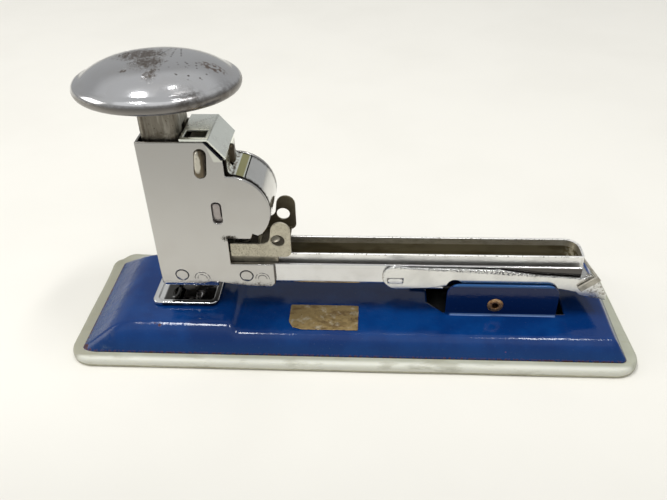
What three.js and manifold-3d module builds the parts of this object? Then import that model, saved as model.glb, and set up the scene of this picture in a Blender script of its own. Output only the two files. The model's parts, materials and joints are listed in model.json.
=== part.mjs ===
// Desk stapler with a round push knob, a tape-driven staple pusher, a lift spring and a turning anvil.
// Millimetres. +X runs from the head towards the hinge, +Y across, +Z up.
// The origin is on the table, under the middle of the base.

import * as THREE from 'three';
import { mergeVertices } from 'three/addons/utils/BufferGeometryUtils.js';
import Module from 'manifold-3d';

const wasm = await Module();
wasm.setup();

// ---------------------------------------------------------------- driving dimensions

const GAP = 0.3; // between sheets that lie against each other
const FIT = 0.1; // around a rivet or a tab that doesn't move in its hole
const ROUND = 32; // sides of a round part

// Base: a soft pad and a pressed steel pan on it.
const PAD = { halfX: 90.5, halfY: 28.1, cornerR: 8, top: 3, edge: 0.8, fingerHoleR: 8 };
const PAN = {
  halfX: 86.45, halfY: 24.65, bottom: 3.1, sheet: 1, bottomR: 2, lowR: 4, highR: 2.5,
  low: 8.9, high: 10.94, // heights of the long plateau and of the raised one under the head
  sideRun: 0.605, frontRun: 1.588, stepRun: 1.08, // mm in plan for each mm of height
  stepX: -38.2, // rear edge of the raised plateau
};
const WELL = { x0: 25.5, x1: 69.4, halfY: 8.9, cornerX: 5, cornerY: 5 }; // opening between the ears
const EAR = { x0: 31, x1: 66.4, top: 21, inner: 8.9, outer: 9.9 };
const PIN = { x: 46.65, z: 13.24, r: 1.9, bore: 1.1, holeR: 2, headR: 2.6, headLength: 0.45 };
const LABEL = { x: -8.4, y: -12.6, length: 22.8, width: 12.4, thick: 0.2 };

// Anvil: a plate on a post, a spring round the post and a button under the base.
const ANVIL = {
  x: -54.4, halfX: 11, halfY: 10.5, cornerR: 2.5, z0: 11.25, z1: 12.45, floor: 11.85, rim: 1.7,
  postR: 5, neckR: 3, staple: 4, // staple: from the post's axis to each staple line
};
const BUTTON = { r: 7.4, z0: 0.5, z1: 3.4, headR: 4.4 };

// Magazine: an outer channel, a core rail that the staples straddle, and the hinge bracket.
const CHANNEL = { outer: 7.2, inner: 6.4, z0: 19.2, floor: 20, top: 26.5, x0: -59.9, x1: 72.6 };
const NOSE = { x0: -60.9, x1: -43, halfY: 7, z0: 17, z1: 18.8 };
const CORE = {
  outer: 5.15, inner: 4.35, z0: 20.2, floor: 21, top: 29.2, x0: -57.9, x1: 73.3, nearR: 1.1, farR: 5,
};
const TAB = { x0: 12.2, x1: 16.9, z0: 20.4, z1: 22.1, outer: 8.65, endR: 0.7 };
const ARM = { inner: 7.5, outer: 8.5, lobeR: 5.2 };

// Head: a folded housing, the plunger in it and the tape spring behind it.
const HEAD = { inner: 7.5, outer: 8.5, frontX: -61, z0: 19, z1: 69.8 };
const ROLL = { x: -35.6, z: 46.8, outer: 12, sheet: 0.8 }; // axis and radius of the round rear
const COVER = { halfY: 7.2, seamDeg: 64, endDeg: -38 };
const SLOT = { x0: -37.7, z1: 36.8 }; // where the pusher enters the housing
const KNOB = {
  x: -53.5, r: 23.53, rimZ: 84.55, dome: 4.85, fullness: 3.6, sheet: 0.8, roll: 2.2, tiltX: -4.4, tiltY: 1,
};
const STEM = { x0: -59.8, x1: -48.2, halfY: 6.7, cornerR: 2.1, z0: 52, z1: 83.5, stepZ: 64, groove: 1.1 };
const TRAVEL = 12.2; // of the plunger
const BLADE = { x0: -59, x1: -58.1, halfY: 6.1, z0: 29.9, z1: 63.8 };
const PLUNGER_SPRING = { x: -53.4, r: 3.1, wire: 0.4, turns: 8, z0: 36.4, z1: 65.6, boreR: 3.7 };
const LUG = { x: -42.8, z: 63, width: 3.1, length: 9.1, stand: 1.2, lean: 6 };
const RIVET = { r: 2, z: 22.4, x: [-54.1, -33.1] };

// Pusher: a saddle with two eared sides, and the follower that it carries along the core.
const PUSHER = {
  inner: 7.4, outer: 8.2, x0: -37.3, x1: -18.1, z0: 29.9, arm: 34.8, rivetX: [-34, -24.6], rivetR: 1.2,
};
const EYE = { x: -22.2, z: 36, r: 2.15 };
const FOLLOWER = { x0: -57.7, x1: -24, inner: 5.35, outer: 6.1, z0: 24.8, z1: 30 };
const TAPE = { z0: 38.2, z1: 38.5, halfY: 4, coilR: 8.1, hubR: 3.2, pinR: 1.5 };

// ---------------------------------------------------------------- shapes and booleans

function solidOf(geometry) {
  const bare = geometry.index ? geometry.toNonIndexed() : geometry;
  bare.deleteAttribute('normal');
  bare.deleteAttribute('uv');
  const merged = mergeVertices(bare, 1e-5);
  return new wasm.Manifold(new wasm.Mesh({
    numProp: 3,
    vertProperties: new Float32Array(merged.attributes.position.array),
    triVerts: new Uint32Array(merged.index.array),
  }));
}

function geometryOf(solid) {
  const mesh = solid.getMesh();
  const geometry = new THREE.BufferGeometry();
  geometry.setAttribute('position', new THREE.BufferAttribute(new Float32Array(mesh.vertProperties), 3));
  geometry.setIndex(new THREE.BufferAttribute(new Uint32Array(mesh.triVerts), 1));
  geometry.computeVertexNormals();
  return geometry;
}

const join = (...solids) => solids.reduce((whole, next) => whole.add(next));
const cut = (body, ...tools) => tools.reduce((left, tool) => left.subtract(tool), body);

function shapeOf(points) {
  return new THREE.Shape(points.map(([x, y]) => new THREE.Vector2(x, y)));
}

function roundedRect(x0, x1, y0, y1, r, steps = 5) {
  const corners = [[x1 - r, y0 + r, -90], [x1 - r, y1 - r, 0], [x0 + r, y1 - r, 90], [x0 + r, y0 + r, 180]];
  return corners.flatMap(([x, y, start]) => arc(x, y, r, start, start + 90, steps));
}

// Points on an arc, from one angle in degrees to another.
function arc(x, y, r, from, to, steps = 8) {
  return Array.from({ length: steps + 1 }, (_, i) => {
    const angle = THREE.MathUtils.degToRad(from + (to - from) * i / steps);
    return [x + r * Math.cos(angle), y + r * Math.sin(angle)];
  });
}

// An outline seen from the side (x, z), extruded from y0 to y1.
function plate(points, y0, y1) {
  const geometry = new THREE.ExtrudeGeometry(shapeOf(points), { depth: y1 - y0, bevelEnabled: false });
  return solidOf(geometry.rotateX(Math.PI / 2).translate(0, y1, 0));
}

// An outline seen from above (x, y), extruded from z0 to z1.
function slab(points, z0, z1) {
  const geometry = new THREE.ExtrudeGeometry(shapeOf(points), { depth: z1 - z0, bevelEnabled: false });
  return solidOf(geometry.translate(0, 0, z0));
}

function block(x0, x1, y0, y1, z0, z1) {
  const geometry = new THREE.BoxGeometry(x1 - x0, y1 - y0, z1 - z0);
  return solidOf(geometry.translate((x0 + x1) / 2, (y0 + y1) / 2, (z0 + z1) / 2));
}

// A round bar along X, Y or Z, centred at the given point.
function bar(axis, r, length, x, y, z, sides = ROUND) {
  const geometry = new THREE.CylinderGeometry(r, r, length, sides);
  if (axis === 'x') geometry.rotateZ(Math.PI / 2);
  if (axis === 'z') geometry.rotateX(Math.PI / 2);
  return solidOf(geometry.translate(x, y, z));
}

// A closed profile of [radius, height] pairs, turned about Z at (x, y).
function turned(profile, x, y, sides = ROUND) {
  const loop = [...profile, profile[0]].map(([r, z]) => new THREE.Vector2(r, z));
  return outward(solidOf(new THREE.LatheGeometry(loop, sides).rotateX(Math.PI / 2).translate(x, y, 0)));
}

// A solid whose faces point in is turned inside out.
function outward(solid) {
  if (solid.volume() > 0) return solid;
  const geometry = geometryOf(solid);
  const index = geometry.index.array;
  for (let i = 0; i < index.length; i += 3) {
    [index[i], index[i + 1]] = [index[i + 1], index[i]];
  }
  return solidOf(geometry);
}

// A closed skin through rings of the same number of points, the lowest ring first.
function loft(rings) {
  const count = rings[0].length;
  const position = rings.flat().flat();
  const index = [];
  for (let level = 0; level + 1 < rings.length; level += 1) {
    for (let i = 0; i < count; i += 1) {
      const a = level * count + i;
      const b = level * count + (i + 1) % count;
      index.push(a, b, b + count, a, b + count, a + count);
    }
  }
  const top = (rings.length - 1) * count;
  for (let i = 1; i + 1 < count; i += 1) {
    index.push(0, i + 1, i, top, top + i, top + i + 1);
  }
  const geometry = new THREE.BufferGeometry();
  geometry.setAttribute('position', new THREE.BufferAttribute(new Float32Array(position), 3));
  geometry.setIndex(index);
  return solidOf(geometry);
}

// Round wire along a curve given as a function of t from 0 to 1.
function wire(pointAt, radius, steps) {
  const path = new THREE.Curve();
  path.getPoint = (t, target = new THREE.Vector3()) => target.set(...pointAt(t));
  path.arcLengthDivisions = steps * 4;
  const section = shapeOf(arc(0, 0, radius, 0, 300, 5));
  const options = { steps, extrudePath: path, bevelEnabled: false };
  return outward(solidOf(new THREE.ExtrudeGeometry(section, options)));
}

function coil(x, y, z0, z1, r, wireR, turns) {
  const pointAt = (t) => {
    const angle = 2 * Math.PI * turns * t;
    return [x + r * Math.cos(angle), y + r * Math.sin(angle), z0 + wireR + (z1 - z0 - 2 * wireR) * t];
  };
  return wire(pointAt, wireR, Math.round(turns * 11));
}

// A piece made for the near side (-Y) and its mirror on the far side, as one solid.
const bothSides = (solid) => join(solid, solid.mirror([0, 1, 0]));

// ---------------------------------------------------------------- base

function basePad() {
  const outline = roundedRect(
    PAD.edge - PAD.halfX, PAD.halfX - PAD.edge, PAD.edge - PAD.halfY, PAD.halfY - PAD.edge,
    PAD.cornerR - PAD.edge,
  );
  const depth = PAD.top - 2 * PAD.edge;
  const edge = PAD.edge;
  const options = { depth, bevelEnabled: true, bevelSize: edge, bevelThickness: edge, bevelSegments: 2 };
  const body = solidOf(new THREE.ExtrudeGeometry(shapeOf(outline), options).translate(0, 0, PAD.edge));
  return cut(body, bar('z', PAD.fingerHoleR, 3 * PAD.top, ANVIL.x, 0, 0));
}

// One closed block of the pan at a plateau height; inset moves every face in by that thickness.
function panBlock(plateau, cornerR, x1AtBottom, endRun, inset) {
  const slant = (run) => inset * Math.hypot(1, run);
  const ring = (z, r) => {
    const rise = z - PAN.bottom;
    const halfY = PAN.halfY - rise * PAN.sideRun - slant(PAN.sideRun);
    const x0 = -PAN.halfX + rise * PAN.frontRun + slant(PAN.frontRun);
    const x1 = x1AtBottom - rise * endRun - slant(endRun);
    return roundedRect(x0, x1, -halfY, halfY, r).map(([x, y]) => [x, y, z]);
  };
  return loft([ring(PAN.bottom - inset, PAN.bottomR), ring(plateau - inset, cornerR)]);
}

function panForm(inset) {
  const stepFoot = PAN.stepX + (PAN.high - PAN.bottom) * PAN.stepRun;
  return join(
    panBlock(PAN.low, PAN.lowR, PAN.halfX, PAN.sideRun, inset),
    panBlock(PAN.high, PAN.highR, stepFoot, PAN.stepRun, inset),
  );
}

function ear() {
  const { x0, x1, top } = EAR;
  const outline = [
    [x0, PAN.low - 0.5], [x1 + 0.4, PAN.low - 0.5], [x1 + 0.4, PAN.low],
    ...arc(x1 - 4, top - 4, 4, 20, 90), ...arc(x0 + 4, top - 4, 4, 90, 180),
  ];
  return plate(outline, -EAR.outer, -EAR.inner);
}

function basePan() {
  const shell = cut(panForm(0), panForm(PAN.sheet));
  const { x0, x1, halfY, cornerX, cornerY } = WELL;
  const opening = [
    [x0, cornerY - halfY], [x0 + cornerX, -halfY], [x1, -halfY],
    [x1, halfY], [x0 + cornerX, halfY], [x0, halfY - cornerY],
  ];
  const well = slab(opening, PAN.low - 3, PAN.low + 1);
  const pinHole = bar('y', PIN.holeR, 40, PIN.x, 0, PIN.z, 24);
  const postHole = bar('z', ANVIL.postR + 0.08, 6, ANVIL.x, 0, PAN.high, 48);
  return cut(join(cut(shell, well), bothSides(ear())), pinHole, postHole);
}

function labelPlate() {
  const { x, y, length, width, thick } = LABEL;
  const outline = roundedRect(x - length / 2, x + length / 2, y - width / 2, y + width / 2, 0.8, 2);
  return slab(outline, PAN.low + 0.05, PAN.low + 0.05 + thick);
}

// ---------------------------------------------------------------- anvil

function anvilPlate() {
  const { x, halfX, halfY, cornerR, z0, z1, floor, rim, staple } = ANVIL;
  const body = slab(roundedRect(x - halfX, x + halfX, -halfY, halfY, cornerR), z0, z1);
  const pocket = slab(
    roundedRect(x - halfX + rim, x + halfX - rim, rim - halfY, halfY - rim, cornerR - 1), floor, z1 + 1,
  );
  const grooves = [[-staple, 4.1], [staple, 6.2]].flatMap(([dx, y]) => [-y, y].map((side) => {
    const groove = new THREE.SphereGeometry(1, 12, 8).scale(1, 2.3, 0.35);
    return solidOf(groove.translate(x + dx, side, floor));
  }));
  return cut(body, pocket, ...grooves, bar('z', 2.6 + FIT, 6, x, 0, z0, 24));
}

function anvilPost() {
  const { x, postR, neckR, z0, floor } = ANVIL;
  return turned([
    [0, BUTTON.z0 + 0.2], [BUTTON.headR, BUTTON.z0 + 0.2], [BUTTON.headR, 1.4], [neckR, 1.4],
    [neckR, BUTTON.z1 + 0.4], [postR, BUTTON.z1 + 0.4], [postR, z0 - FIT], [2.6, z0 - FIT],
    [2.6, floor - 0.05], [0, floor - 0.05],
  ], x, 0);
}

function anvilButton() {
  const { r, z0, z1, headR } = BUTTON;
  const bore = ANVIL.neckR + 0.08;
  return turned([
    [headR + FIT, z0], [r - 0.5, z0], [r, z0 + 0.5], [r, z1], [bore, z1], [bore, 1.6], [headR + FIT, 1.6],
  ], ANVIL.x, 0, 48);
}

function anvilSpring() {
  return coil(ANVIL.x, 0, BUTTON.z1 + 0.15, PAN.high - PAN.sheet - 0.15, 6, 0.35, 3.5);
}

// ---------------------------------------------------------------- hinge

function hingePin() {
  const { x, z, r, bore, headR, headLength } = PIN;
  const seat = EAR.outer + 0.05;
  const end = seat + headLength;
  const profile = [
    [bore, -end], [headR - 0.5, -end], [headR, -seat - 0.15], [headR, -seat], [r, -seat],
    [r, seat], [headR, seat], [headR, seat + 0.15], [headR - 0.5, end], [bore, end],
  ];
  return turned(profile, 0, 0, 24).rotate([90, 0, 0]).translate([x, 0, z]);
}

// Torsion spring round the pin: one leg under the bracket, the other on the pan.
function liftSpring() {
  const r = 3.3;
  const halfWidth = 3.2;
  const turns = 5.5;
  const legUp = [28, -halfWidth, 16.9];
  const legDown = [20, halfWidth, PAN.low + 0.6];
  const coilAt = (s) => {
    const angle = Math.PI / 2 - 2 * Math.PI * turns * s;
    return [PIN.x + r * Math.cos(angle), halfWidth * (2 * s - 1), PIN.z + r * Math.sin(angle)];
  };
  const mix = (a, b, s) => a.map((value, i) => value + (b[i] - value) * s);
  const share = 0.14; // of the wire's run in each leg
  const pointAt = (t) => {
    if (t < share) return mix(legUp, coilAt(0), t / share);
    if (t > 1 - share) return mix(coilAt(1), legDown, (t - 1 + share) / share);
    return coilAt((t - share) / (1 - 2 * share));
  };
  return wire(pointAt, 0.5, 84);
}

function bracketArm() {
  const outline = [
    ...arc(14.9, 22.5, 4.5, 270, 95),
    [19.2, 26.3], [46.9, 25.9], [59.5, 24.1], [73.4, 23.3], [74.9, 24.8], [75.8, 24.4],
    [79.2, 20.5], [81.2, 16.9], [81.4, 14.8], [76.7, 15.7], [72.7, 16.7], [71.4, 17.9], [66.6, 19],
    [55, 19], [35.7, 19.7], ...arc(33.4, 19.6, 2.3, 0, 180), [25.6, 18.6],
  ];
  const neck = [[36.5, 21], [PIN.x - ARM.lobeR, PIN.z], [PIN.x + ARM.lobeR, PIN.z], [56, 21]];
  const lobe = bar('y', ARM.lobeR, ARM.outer - ARM.inner, PIN.x, -(ARM.inner + ARM.outer) / 2, PIN.z);
  return join(
    plate(outline.reverse(), -ARM.outer, -ARM.inner), plate(neck, -ARM.outer, -ARM.inner), lobe,
  );
}

function hingeBracket() {
  const frontWeb = block(14, 30, -ARM.outer + 0.5, ARM.outer - 0.5, 17.9, 18.9);
  const rearWeb = plate(
    [[73, 16.7], [76.7, 15.75], [81.3, 14.9], [81.3, 15.9], [76.9, 16.8], [73.2, 17.8]],
    -ARM.outer + 0.5, ARM.outer - 0.5,
  );
  const pinHole = bar('y', PIN.holeR, 40, PIN.x, 0, PIN.z, 24);
  return cut(join(bothSides(bracketArm()), frontWeb, rearWeb), pinHole, tabWindow(20));
}

function tabWindow(halfY) {
  return block(TAB.x0 - FIT, TAB.x1 + FIT, -halfY, halfY, TAB.z0 - FIT, TAB.z1 + FIT);
}

// Strip folded over the slanted rear end of both bracket arms.
function rearClip() {
  const along = new THREE.Vector2(0.657, -0.754); // down the slanted edge
  const out = new THREE.Vector2(0.754, 0.657); // away from it
  const corner = new THREE.Vector2(75.9, 24.3);
  const width = 2.1;
  const at = (down, outwards) => {
    const point = corner.clone().addScaledVector(along, down).addScaledVector(out, outwards);
    return [point.x, point.y];
  };
  const strip = plate([at(0, 0.2), at(0, 1), at(width, 1), at(width, 0.2)].reverse(), -9.5, 9.5);
  const tab = plate([at(0, -6), at(0, 1), at(width, 1), at(width, -6)].reverse(), -9.5, -8.7);
  return join(strip, bothSides(tab));
}

// ---------------------------------------------------------------- magazine

function magazineChannel() {
  const { outer, inner, z0, floor, top, x0, x1 } = CHANNEL;
  const body = block(x0, x1, -outer, outer, z0, top);
  const trough = block(x0 + 0.7, x1 + 1, -inner, inner, floor, top + 1);
  const nose = block(NOSE.x0, NOSE.x1, -NOSE.halfY, NOSE.halfY, NOSE.z0, NOSE.z1);
  const noseNeck = block(x0, NOSE.x1 - 0.5, -NOSE.halfY, NOSE.halfY, NOSE.z1 - 0.5, floor - 0.5);
  const exit = block(x0 + 0.7, CORE.x0 - 0.1, -inner, inner, NOSE.z0 - 1, floor + 1);
  const rivetHoles = RIVET.x.map((x) => bar('y', RIVET.r + FIT, 40, x, 0, RIVET.z, 24));
  return cut(join(cut(body, trough), nose, noseNeck), exit, tabWindow(20), ...rivetHoles);
}

// A plan with square front corners and two different round ones at the rear.
function roundEnded(x0, x1, halfY, nearR, farR) {
  const near = arc(x1 - nearR, nearR - halfY, nearR, -90, 0, 4);
  const far = arc(x1 - farR, halfY - farR, farR, 0, 90, 10);
  return [[x0, -halfY], ...near, ...far, [x0, halfY]];
}

function coreRail() {
  const { outer, inner, z0, floor, top, x0, x1, nearR, farR } = CORE;
  const wall = outer - inner;
  const body = slab(roundEnded(x0, x1, outer, nearR, farR), z0, top);
  const trough = slab(roundEnded(x0 - 1, x1 - wall, inner, nearR - wall, farR - wall), floor, top + 1);
  const side = plate(roundedRect(TAB.x0, TAB.x1, TAB.z0, TAB.z1, TAB.endR, 3), -TAB.outer, -outer + 0.3);
  return join(cut(body, trough), bothSides(side));
}

// ---------------------------------------------------------------- head

function headSide() {
  const roll = (from, to, steps) => arc(ROLL.x, ROLL.z, ROLL.outer, from, to, steps);
  const outline = [
    [HEAD.frontX, HEAD.z0], [-47.4, HEAD.z0], [-45, 19.8], [-41.5, 19.6], [-36.5, 18.5], [-26.2, 18],
    ...arc(-25.9, 20.1, 2.1, -90, 0, 4), [-23.8, 27], [SLOT.x0, 27], [SLOT.x0, SLOT.z1], [-30.4, SLOT.z1],
    [-29.7, 38.7], [-28.1, 38], ...roll(-41, 92, 14), [-36.2, 64], [-36.1, 64.6], [-40.3, HEAD.z1],
    [HEAD.frontX, HEAD.z1],
  ];
  return plate(outline, -HEAD.outer, -HEAD.inner);
}

function pill(halfWidth, halfLength) {
  const reach = halfLength - halfWidth;
  return [...arc(0, reach, halfWidth, 0, 180), ...arc(0, -reach, halfWidth, 180, 360)];
}

function lugHole() {
  const outline = pill(LUG.width / 2 + FIT, LUG.length / 2 + FIT);
  return plate(outline, -20, 20).rotate([0, LUG.lean, 0]).translate([LUG.x, 0, LUG.z]);
}

function headHousing() {
  const front = block(HEAD.frontX, HEAD.frontX + 0.9, -HEAD.outer + 0.2, HEAD.outer - 0.2, HEAD.z0, HEAD.z1);
  const rivetHoles = RIVET.x.map((x) => bar('y', RIVET.r + FIT, 40, x, 0, RIVET.z, 24));
  const window = plate(roundedRect(-41.4, -38.4, 42.4, 49.9, 1.3), -20, 20);
  return cut(join(bothSides(headSide()), front), ...rivetHoles, lugHole(), window);
}

function sideLug() {
  const body = plate(pill(LUG.width / 2, LUG.length / 2), -HEAD.outer - LUG.stand, -HEAD.inner + 0.1);
  return body.rotate([0, LUG.lean, 0]).translate([LUG.x, 0, LUG.z]);
}

function rearLug() {
  const body = plate(pill(1.6, 3.1), 0, 4.2).rotate([0, 0, -90]);
  return body.translate([-38.2, 0, 62.2]);
}

function headRivet(x) {
  return bar('y', RIVET.r, 2, x, -7.55, RIVET.z, 24);
}

// Strip of the round rear between two angles, seen from the near side.
function rollStrip(from, to, steps) {
  const outer = arc(ROLL.x, ROLL.z, ROLL.outer, from, to, steps);
  const inner = arc(ROLL.x, ROLL.z, ROLL.outer - ROLL.sheet, to, from, steps);
  return plate([...outer, ...inner], -COVER.halfY, COVER.halfY);
}

function hoodCover() {
  const top = block(-47.9, -39.5, -HEAD.outer, HEAD.outer, 70.1, 70.9);
  const slant = plate(
    [[-39.9, 70.1], [-35.6, 64.8], [-35, 65.3], [-39.5, 70.9]], -HEAD.outer, HEAD.outer,
  );
  const wall = plate(
    [[-36.2, 58.3], [-33.9, 58.3], ...arc(-33.8, 60.2, 1.6, 270, 180, 4), [-35.4, 65.5], [-36.2, 65.5]],
    -COVER.halfY, COVER.halfY,
  );
  const slot = block(-46.9, -40.5, -7, -2.3, 69, 72);
  const rearHole = block(-40, -30, -1.7, 1.7, 59, 65.4);
  return cut(join(top, slant, wall, rollStrip(COVER.seamDeg + 1.5, 94, 5)), slot, rearHole);
}

function rearCover() {
  return rollStrip(COVER.endDeg, COVER.seamDeg, 12);
}

// Block behind the stem, with a key that rides in the stem's groove and stops it both ways.
function stemGuide() {
  const body = block(STEM.x1 + GAP + 0.1, -39.4, -7.2, 7.2, 57.6, 66.4);
  const key = block(STEM.x1 - STEM.groove + GAP, STEM.x1 + 1, -1.8, 1.8, 57.6, 59.6);
  return join(body, key);
}

// Cage of the tape spool, with the plunger spring's seat in front.
function spoolFrame() {
  const web = block(-45.1, -44.3, -7.2, 7.2, 35.2, 56);
  const seat = block(-57.2, -44.3, -7.2, 7.2, 35.2, 36.2);
  const cheek = block(-45.1, -31, -7.2, -6.4, 40, 54);
  const tab = plate(roundedRect(-41, -38.8, 43.9, 49.4, 0.9), -8.35, -6.8);
  const pinHole = bar('y', TAPE.pinR + 0.08, 40, ROLL.x, 0, ROLL.z, 24);
  return cut(join(web, seat, bothSides(join(cheek, tab))), pinHole);
}

function spoolPin() {
  return bar('y', TAPE.pinR, 14.2, ROLL.x, 0, ROLL.z, 24);
}

function ringAlongY(inner, outer, halfY) {
  const hub = turned([[inner, -halfY], [outer, -halfY], [outer, halfY], [inner, halfY]], 0, 0, 24);
  return hub.rotate([90, 0, 0]).translate([ROLL.x, 0, ROLL.z]);
}

function tapeSpool() {
  return ringAlongY(TAPE.pinR + 0.08, TAPE.hubR, 5.6);
}

function tapeCoil() {
  return ringAlongY(TAPE.hubR + 0.15, TAPE.coilR, TAPE.halfY);
}

function tapeStrip() {
  return block(ROLL.x, -29.6, -TAPE.halfY, TAPE.halfY, TAPE.z0, TAPE.z1);
}

// ---------------------------------------------------------------- pusher

function pusherSide() {
  const { x0, x1, z0, arm, inner, outer } = PUSHER;
  const outline = [
    [x0, z0], ...arc(x1 - 2.2, z0 + 2.2, 2.2, -90, 0, 5), ...arc(x1 - 3.1, 39.7, 3.1, 0, 165),
    ...arc(-27.4, arm + 2.8, 2.8, 0, -90, 5), [x0, arm],
  ];
  return plate(outline, -outer, -inner);
}

function pusher() {
  const { x0, x1, outer } = PUSHER;
  const web = block(x0, x1 - 1.5, -outer + 0.2, outer - 0.2, 30.15, 30.95);
  const tongue = block(-29.4, -28.6, -3, 3, 30.5, 38.9);
  const eye = bar('y', EYE.r, 40, EYE.x, 0, EYE.z, 20);
  const rivetHoles = PUSHER.rivetX.map((x) => bar('z', PUSHER.rivetR + FIT, 6, x, 0, 31, 16));
  return cut(join(bothSides(pusherSide()), web, tongue), eye, ...rivetHoles);
}

function stapleFollower() {
  const { x0, x1, inner, outer, z0, z1 } = FOLLOWER;
  const body = block(x0, x1 + 1.2, -outer, outer, z0, z1);
  const straddle = block(x0 - 1, x1 + 2, -inner, inner, z0 - 1, z1 - 0.6);
  const rivetHoles = PUSHER.rivetX.map((x) => bar('z', PUSHER.rivetR + FIT, 4, x, 0, z1, 16));
  return cut(body, straddle, ...rivetHoles);
}

function pusherRivet(x) {
  const r = PUSHER.rivetR;
  return turned([[0, 29.45], [r, 29.45], [r, 31.05], [2, 31.05], [1.5, 31.5], [0, 31.6]], x, 0, 16);
}

// ---------------------------------------------------------------- plunger

// The dome from its edge to its middle, fuller at the shoulders than a part of a sphere.
function domeArc(drop, steps) {
  const { r, dome, roll, rimZ, fullness } = KNOB;
  const rise = dome - drop;
  const span = r - roll - drop;
  return Array.from({ length: steps + 1 }, (_, i) => {
    const out = 1 - i / steps;
    return [span * out, rimZ + roll + rise * (1 - out ** fullness)];
  });
}

// The knob sits a little askew on its stem.
function askew(solid) {
  const { x, rimZ, tiltX, tiltY } = KNOB;
  return solid.translate([-x, 0, -rimZ]).rotate([tiltX, tiltY, 0]).translate([x, 0, rimZ]);
}

function knobDome() {
  const { r, rimZ, roll, sheet } = KNOB;
  const rim = arc(r - roll, rimZ, roll, -80, 70, 5);
  const inside = domeArc(sheet, 6).reverse();
  const profile = [...rim, ...domeArc(0, 8).slice(1), ...inside, [r - roll - 0.9, rimZ]];
  return askew(turned(profile, KNOB.x, 0, 40));
}

function knobUnderside() {
  const { r, rimZ, roll, x } = KNOB;
  const z0 = rimZ - 0.2;
  const edge = r - roll - 1.2;
  const body = turned([[0, z0], [edge, z0], [edge, z0 + 0.8], [0, z0 + 0.8]], x, 0, 40);
  return askew(cut(body, bar('z', 2.3, 6, x, 0, rimZ, 24)));
}

function knobScrew() {
  const seat = KNOB.rimZ + 1.05;
  return turned([[0, 74], [2, 74], [2, seat], [3.8, seat], [3.4, seat + 2], [0, seat + 2.2]], KNOB.x, 0, 24);
}

function plungerStem() {
  const { x0, x1, halfY, cornerR, z0, z1, stepZ, groove } = STEM;
  const body = slab(roundedRect(x0, x1, -halfY, halfY, cornerR), z0, z1);
  const springBore = bar('z', PLUNGER_SPRING.boreR, 28, PLUNGER_SPRING.x, 0, z0);
  const bladeStep = block(x0 - 1, BLADE.x1 + 0.2, -10, 10, z0 - 1, stepZ);
  const slit = block(x1 - groove, x1 + 1, -2, 2, 57.4, 57.4 + TRAVEL + 2.4);
  const screwHole = bar('z', 2 + FIT, 30, KNOB.x, 0, z1 + 4, 24);
  const rivetHole = bar('x', 1.2 + FIT, 6, BLADE.x1, 0, 60, 16);
  return cut(body, springBore, bladeStep, slit, screwHole, rivetHole);
}

function driverBlade() {
  const { x0, x1, halfY, z0, z1 } = BLADE;
  return cut(block(x0, x1, -halfY, halfY, z0, z1), bar('x', 1.2 + FIT, 6, x1, 0, 60, 16));
}

function driverRivet() {
  return bar('x', 1.2, 1.9, BLADE.x1, 0, 60, 16);
}

function plungerSpring() {
  const { x, r, wire: wireR, turns, z0, z1 } = PLUNGER_SPRING;
  return coil(x, 0, z0, z1, r, wireR, turns);
}

// ---------------------------------------------------------------- assembly

function steel(color, roughness, metalness) {
  return new THREE.MeshStandardMaterial({ color, roughness, metalness });
}

const chrome = () => steel(0xc8cad0, 0.12, 1);
const nickel = () => steel(0xa59f90, 0.38, 1);
const springSteel = () => steel(0x6f6c68, 0.35, 1);
const far = (solid) => solid.mirror([0, 1, 0]);

const subParts = {
  base_pad: [basePad(), steel(0xcfcdbb, 0.6, 0)],
  base_pan: [basePan(), steel(0x0b3580, 0.25, 0)],
  label_plate: [labelPlate(), steel(0xb29a6c, 0.45, 0.8)],
  anvil_plate: [anvilPlate(), chrome()],
  anvil_post: [anvilPost(), springSteel()],
  anvil_button: [anvilButton(), chrome()],
  anvil_spring: [anvilSpring(), springSteel()],
  hinge_pin: [hingePin(), steel(0x8a6038, 0.4, 1)],
  lift_spring: [liftSpring(), springSteel()],
  hinge_bracket: [hingeBracket(), chrome()],
  rear_clip: [rearClip(), nickel()],
  magazine_channel: [magazineChannel(), chrome()],
  core_rail: [coreRail(), chrome()],
  head_housing: [headHousing(), chrome()],
  front_rivet_near: [headRivet(RIVET.x[0]), chrome()],
  front_rivet_far: [far(headRivet(RIVET.x[0])), chrome()],
  rear_rivet_near: [headRivet(RIVET.x[1]), chrome()],
  rear_rivet_far: [far(headRivet(RIVET.x[1])), chrome()],
  hood_cover: [hoodCover(), chrome()],
  rear_cover: [rearCover(), chrome()],
  stem_guide: [stemGuide(), nickel()],
  guide_lug_near: [sideLug(), nickel()],
  guide_lug_far: [far(sideLug()), nickel()],
  guide_lug_rear: [rearLug(), nickel()],
  spool_frame: [spoolFrame(), nickel()],
  spool_pin: [spoolPin(), springSteel()],
  tape_spool: [tapeSpool(), nickel()],
  tape_coil: [tapeCoil(), springSteel()],
  tape_strip: [tapeStrip(), springSteel()],
  pusher: [pusher(), nickel()],
  staple_follower: [stapleFollower(), nickel()],
  pusher_rivet_front: [pusherRivet(PUSHER.rivetX[0]), nickel()],
  pusher_rivet_rear: [pusherRivet(PUSHER.rivetX[1]), nickel()],
  knob_dome: [knobDome(), chrome()],
  knob_underside: [knobUnderside(), nickel()],
  knob_screw: [knobScrew(), springSteel()],
  plunger_stem: [plungerStem(), nickel()],
  driver_blade: [driverBlade(), springSteel()],
  driver_rivet: [driverRivet(), springSteel()],
  plunger_spring: [plungerSpring(), springSteel()],
};

const group = new THREE.Group();
for (const [name, [solid, material]] of Object.entries(subParts)) {
  const mesh = new THREE.Mesh(geometryOf(solid), material);
  mesh.name = name;
  group.add(mesh);
}

export default group;
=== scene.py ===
"""Looks of the desk stapler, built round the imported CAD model."""

import json
import math
from contextlib import contextmanager

import bmesh
import bpy
from mathutils import Matrix, Vector, noise

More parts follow.
